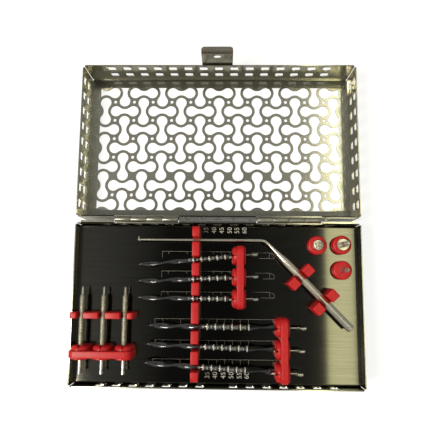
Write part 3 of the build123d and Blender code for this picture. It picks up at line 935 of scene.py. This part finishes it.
def drill_mesh(number):
    """The whole drill about X: rings of a two-flute section that turns on the way to the plain body."""
    group = 0 if number < 3 else 1
    radius, length, body = drill_radius[number], drill_length[group], drill_body[group]
    waist, groove_end, groove_width = groove
    shank_end = length - groove_end - groove_width
    profile = [(point_length * i / 5, radius * (0.1 + 0.9 * i / 5), 0) for i in range(5)]
    profile += [(point_length + (flute_length - point_length) * i / 60, radius, 0) for i in range(61)]
    for i in range(band_count[group]):
        at = first_band[group] + band_pitch[group] * i - band_width / 2
        profile += [(at, radius, 2), (at + 0.1, radius + band_proud, 2),
                    (at + band_width - 0.1, radius + band_proud, 2), (at + band_width, radius, 0)]
    profile += [(body, radius, 0), (body + 0.7, shank_radius, 1), (shank_end, shank_radius, 1),
                (shank_end, waist, 1), (length - groove_end, waist, 1),
                (length - groove_end, shank_radius, 1), (length - 0.2, shank_radius, 1),
                (length, shank_radius - 0.2, 1)]
    rings = []
    for x, r, finish in profile:
        fade = max(0.0, min(1.0, (flute_length - x) / flute_fade))
        turn = -2 * math.pi * x / flute_pitch
        ring = []
        for k in range(flute_sides):
            angle = 2 * math.pi * k / flute_sides
            hollow = max(0.0, abs(math.cos(angle)) - 0.25) / 0.75
            reach = r * (1 - flute_hollow * fade * hollow)
            y, z = reach * math.cos(angle + turn), reach * math.sin(angle + turn)
            if x > length - flat_length:
                y = min(y, shank_radius / 2)
            ring.append((x, y, z))
        rings.append(ring)
    return skin(rings, [finish for x, r, finish in profile[:-1]], caps=True)


def drill_digits(number):
    """The depth in millimetres before each band, laid round the drill's upper side."""
    group = 0 if number < 3 else 1
    around = drill_radius[number] + mark_height
    made = []
    for i in range(band_count[group]):
        at = first_band[group] + band_pitch[group] * i - digit_before_band
        mesh = number_mesh(str(35 + 5 * i), at, 0, digit_size, 90)
        for vertex in mesh.vertices:
            reach = around + vertex.co.z - deck_top - mark_height
            angle = vertex.co.y / around
            vertex.co = (vertex.co.x, reach * math.sin(angle), reach * math.cos(angle))
        made.append(mesh)
    return made


for number in range(6):
    node = f"{'short' if number < 3 else 'long'}_drill_{number % 3 + 1}"
    tip_x, tip_y, turn = drill_line(number)
    place = Matrix.Translation((tip_x, tip_y, axis_z)) @ turn_about("Z", turn)
    fit(node + "_twist", [drill_mesh(number)], node + "_body", [node],
        [black_steel, bright_steel, pale_mark], place, 40)
    fit(node + "_digits", drill_digits(number), node + "_body", [], [pale_mark], place)


# Burs: turned steel bodies plated with diamond grit in nickel, grey-green and rough, with a slim bright
# pilot and a bright latch shank.
bur_tip_y = 10.4
bur_length = 53.2
bur_pilot = 5.4
bur_body = 31.0


def diamond_plating():
    """Diamond grit held in nickel: a grey-green sparkle of small facets that scatters light.

    The real grit is near 0.15 mm; it is drawn coarser here so that it shows.
    """
    grit = 0.55 * millimetre
    plating = new_material("diamond_plating")
    where = place_on(plating)
    grains = add_node(plating, "ShaderNodeTexVoronoi", {"Vector": where, "Scale": 1 / grit}).outputs
    return surface(plating, Base_Color=tint(plating, grains["Color"], "#57564A", "#BAB8A2"), Metallic=0.8,
                   Roughness=0.55, Normal=relief(plating, grains["Distance"], 0.7, 0.08 * millimetre))


grit_steel = diamond_plating()


def bur_meshes():
    """The bright pilot, the plated working part and the bright shank, end to end about X."""
    end = bur_pilot + bur_body
    waist, groove_end, groove_width = groove
    shank_end = bur_length - groove_end - groove_width
    r = shank_radius
    profile = [(0, 0, 1), (0.1, 0.35, 1), (1.2, 0.8, 1), (bur_pilot - 0.6, 0.9, 1), (bur_pilot - 0.4, 1.0, 0),
               (bur_pilot + 0.9, bur_radius, 0), (bur_pilot + 8, bur_radius, 0), (end - 3, bur_radius, 0),
               (end - 1, 1.4, 0), (end, r, 1), (shank_end, r, 1), (shank_end, waist, 1),
               (bur_length - groove_end, waist, 1), (bur_length - groove_end, r, 1), (bur_length - 0.2, r, 1),
               (bur_length, r - 0.2, 1), (bur_length, 0, 1)]
    finishes = [finish for x, radius, finish in profile[:-1]]
    return [turned([(x, radius) for x, radius, finish in profile], 28, finishes)]


for number in (1, 2, 3):
    node = f"diamond_bur_{number}"
    place = Matrix.Translation((bur_bar[0] + (number - 2) * boss_pitch, bur_tip_y, axis_z))
    fit(node + "_turned", bur_meshes(), node + "_body", [node],
        [grit_steel, bright_steel], place @ turn_about("Z", -90))


# Depth probe: one bar of polished steel, drawn down to a slim rod with a hooked end, bent, and left stout
# with six ground flats where it is held.
probe_tip_x = -50.4
probe_tip_radius = 0.6
probe_bend_radius = 7.0
handle_start = 7.5
handle_taper = 11.0
handle_end = 75.5
handle_flats = 4.9
handle_sides = 48


def probe_mesh():
    """Rings along the probe's axis: round on the rod and the bend, six-sided on the handle."""
    bend = math.radians(probe_angle)
    rod_end = probe_bend_x - probe_bend_radius * math.tan(-bend / 2)
    stations = []
    for i in range(13):
        share = i / 12
        stations.append((probe_tip_x + share * (rod_end - probe_tip_x), comb_probe_y, 0,
                         probe_tip_radius + share * (probe_rod_radius - probe_tip_radius)))
    for i in range(1, 13):
        turn = bend * i / 12
        stations.append((rod_end - probe_bend_radius * math.sin(turn),
                         comb_probe_y - probe_bend_radius * (1 - math.cos(turn)), turn, probe_rod_radius))
    neck = probe_rod_radius + 0.3
    for i in range(15):
        share = i / 14
        stations.append((*along_handle(handle_start + share * handle_taper), bend,
                         neck + share * (probe_handle_radius - neck)))
    for before_end, rounding in ((0.6, 0), (0.2, 0.3), (0, 0.7)):
        stations.append((*along_handle(handle_end - before_end), bend, probe_handle_radius - rounding))
    rings = []
    for x, y, turn, radius in stations:
        ring = []
        for k in range(handle_sides):
            angle = 2 * math.pi * k / handle_sides
            sixth = (angle + math.pi / 6) % (math.pi / 3) - math.pi / 6
            reach = min(radius, handle_flats / 2 / math.cos(sixth))
            across, up = reach * math.cos(angle), reach * math.sin(angle)
            ring.append((x - across * math.sin(turn), y + across * math.cos(turn), up))
        rings.append(ring)
    return skin(rings, caps=True)


def probe_hook():
    hook = turned([(0, 0.5), (1.6, 0.45), (2.0, 0.35), (2.2, 0)], 20)
    return moved(hook, turn_about("Z", 90),
                 Matrix.Translation((probe_tip_x + probe_tip_radius, comb_probe_y, 0)))


fit("depth_probe_bar", [probe_mesh(), probe_hook()], "depth_probe_body", ["depth_probe"],
    [bright_steel], Matrix.Translation((0, 0, axis_z)), 25)


# Upright drivers: a torque driver with a stepped top, a hex driver with a tall stem and a slim guide pin,
# each turned from steel, with a collar that stops it on its grommet.
tool_depth = 5.0
socket_depth = 2.5
# Each has its grommet, its shaft's radius, its collar's radius and top, its stem's radius and top, and its
# socket's radius, in mm.
tools = {"torque_driver": ("grommet_torque", 1.9, 3.3, 6.8, 3.2, 8.4, 1.3),
         "hex_driver": ("grommet_hex", 1.9, 3.8, 8.2, 1.95, 17.0, 0.9),
         "guide_pin": ("grommet_pin", 1.175, 1.6, 6.6, 1.3, 17.0, 0.4)}
for node, (plug, shaft, collar, collar_top, stem, top, socket) in tools.items():
    centre = node_centre(plug)
    seat = grommet_height + grip_play
    body = turned([(-tool_depth, 0), (-tool_depth, shaft - 0.3), (-tool_depth + 0.6, shaft), (seat, shaft),
                   (seat, collar - 0.2), (seat + 0.2, collar), (collar_top - 0.3, collar),
                   (collar_top, collar - 0.3), (collar_top, stem), (top - 0.7, stem), (top - 0.5, stem - 0.2),
                   (top - 0.55, 0.76 * stem), (top - 0.1, 0.72 * stem), (top, 0.67 * stem),
                   (top - 0.1, socket + 0.15), (top - 0.4, socket), (top - socket_depth, socket),
                   (top - socket_depth - 0.4, 0)], 48)
    fit(node + "_turned", [moved(body, turn_about("Y", -90))], node + "_body", [node],
        [bright_steel], Matrix.Translation((centre.x, centre.y, deck_top)))


# Floor: a plain white table with the object's own soft shadow. It glows white for the camera, and less so
# for what the steel mirrors.
floor_half = 4.0
table_glow = 0.78
mirrored_share = 0.22
corners = [(-floor_half, -floor_half, 0), (floor_half, -floor_half, 0), (floor_half, floor_half, 0),
           (-floor_half, floor_half, 0)]
floor_mesh = bpy.data.meshes.new("floor")
floor_mesh.from_pydata(corners, [], [(0, 1, 2, 3)])
floor = bpy.data.objects.new("floor", floor_mesh)
bpy.context.scene.collection.objects.link(floor)
floor.location.z = -0.0002


def combined(tree, operation, one, two):
    return add_node(tree, "ShaderNodeMath", {0: one, 1: two}, operation=operation).outputs[0]


white_table = new_material("white_table")
ray = add_node(white_table, "ShaderNodeLightPath").outputs
direct = combined(white_table, "MAXIMUM", ray["Is Camera Ray"], ray["Is Transmission Ray"])
mirrored = combined(white_table, "MULTIPLY", ray["Is Glossy Ray"], mirrored_share)
seen = combined(white_table, "MAXIMUM", direct, mirrored)
surface(white_table, Base_Color=linear("#9A9A98"), Roughness=0.8, Emission_Color=(1, 1, 1, 1),
        Emission_Strength=combined(white_table, "MULTIPLY", seen, table_glow))
floor_mesh.materials.append(white_table)


# Light: a soft lamp high on the left, and on the right a long narrow lamp, whose far end is weaker, that
# draws the bright band on the deck and the glare on the lid. The room is plain and even, but for the dark
# patch overhead that polished steel shows when seen from above.
def lamp(name, place, target, size, power, colour):
    data = bpy.data.lights.new(name, "AREA")
    data.shape = "RECTANGLE"
    data.size, data.size_y = size
    data.energy = power
    data.color = linear(colour)[:3]
    light = bpy.data.objects.new(name, data)
    light.location = place
    light.rotation_euler = (Vector(target) - Vector(place)).to_track_quat("-Z", "Y").to_euler()
    bpy.context.scene.collection.objects.link(light)


lamp("left_lamp", (-0.56, -0.14, 0.85), (0, 0.03, 0), (0.35, 0.35), 9.0, "#FFF6E8")
lamp("right_strip", (0.2265, -0.1, 0.614), (0.2265, -0.1, 0), (0.054, 0.46), 0.42, "#FFFBCB")
lamp("right_strip_end", (0.233, 0.35, 0.614), (0.233, 0.35, 0), (0.041, 0.44), 0.25, "#FFFCDC")

room_level = 0.4
room_blue = 0.97
overhead_levels = ((-0.26, 0.36), (-0.205, 0.26), (-0.16, 0.15), (-0.12, 0.05), (0.02, 0.035), (0.05, 0.07),
                   (0.1, 0.12), (0.17, 0.14), (0.29, 0.3))
overhead_reach = 0.4
patch_far_edge = (0.11, 0.18)
patch_near_edge = (-0.3, -0.5)
world = bpy.data.worlds.new("room")
bpy.context.scene.world = world
world.use_nodes = True
towards = add_node(world, "ShaderNodeTexCoord").outputs["Generated"]
sky = add_node(world, "ShaderNodeSeparateXYZ", {0: towards})
across = spread(world, sky.outputs["X"], 0, 1, -overhead_reach, overhead_reach)
overhead = add_node(world, "ShaderNodeValToRGB", {"Fac": across})
stops = overhead.color_ramp.elements
while len(stops) < len(overhead_levels):
    stops.new(0.5)
for stop, (direction, level) in zip(stops, overhead_levels):
    stop.position = (direction + overhead_reach) / (2 * overhead_reach)
    stop.color = (level, level, level, 1)
beyond = spread(world, sky.outputs["Y"], 0, 1, *patch_far_edge, interpolation_type="SMOOTHSTEP")
before = spread(world, sky.outputs["Y"], 0, 1, *patch_near_edge, interpolation_type="SMOOTHSTEP")
room = add_node(world, "ShaderNodeMix", {
    "Factor": combined(world, "MAXIMUM", beyond, before), "A": overhead.outputs["Color"],
    "B": (room_level, room_level, room_blue * room_level, 1)}, data_type="RGBA")
world.node_tree.links.new(room.outputs["Result"], world.node_tree.nodes["Background"].inputs["Color"])


# Camera: where the photograph was taken from, almost straight above, solved from the grille's regular grid.
# The colours are shown as they are, with no grading.
camera_data = bpy.data.cameras.new("camera")
camera_data.sensor_width = 36.0
camera_data.lens = 38.99
camera = bpy.data.objects.new("camera", camera_data)
camera.location = (0.00417, 0.01703, 0.3161)
camera.rotation_euler = (math.radians(7.548), math.radians(1.074), math.radians(0.526))
bpy.context.scene.collection.objects.link(camera)
bpy.context.scene.camera = camera
bpy.context.scene.view_settings.view_transform = "Standard"
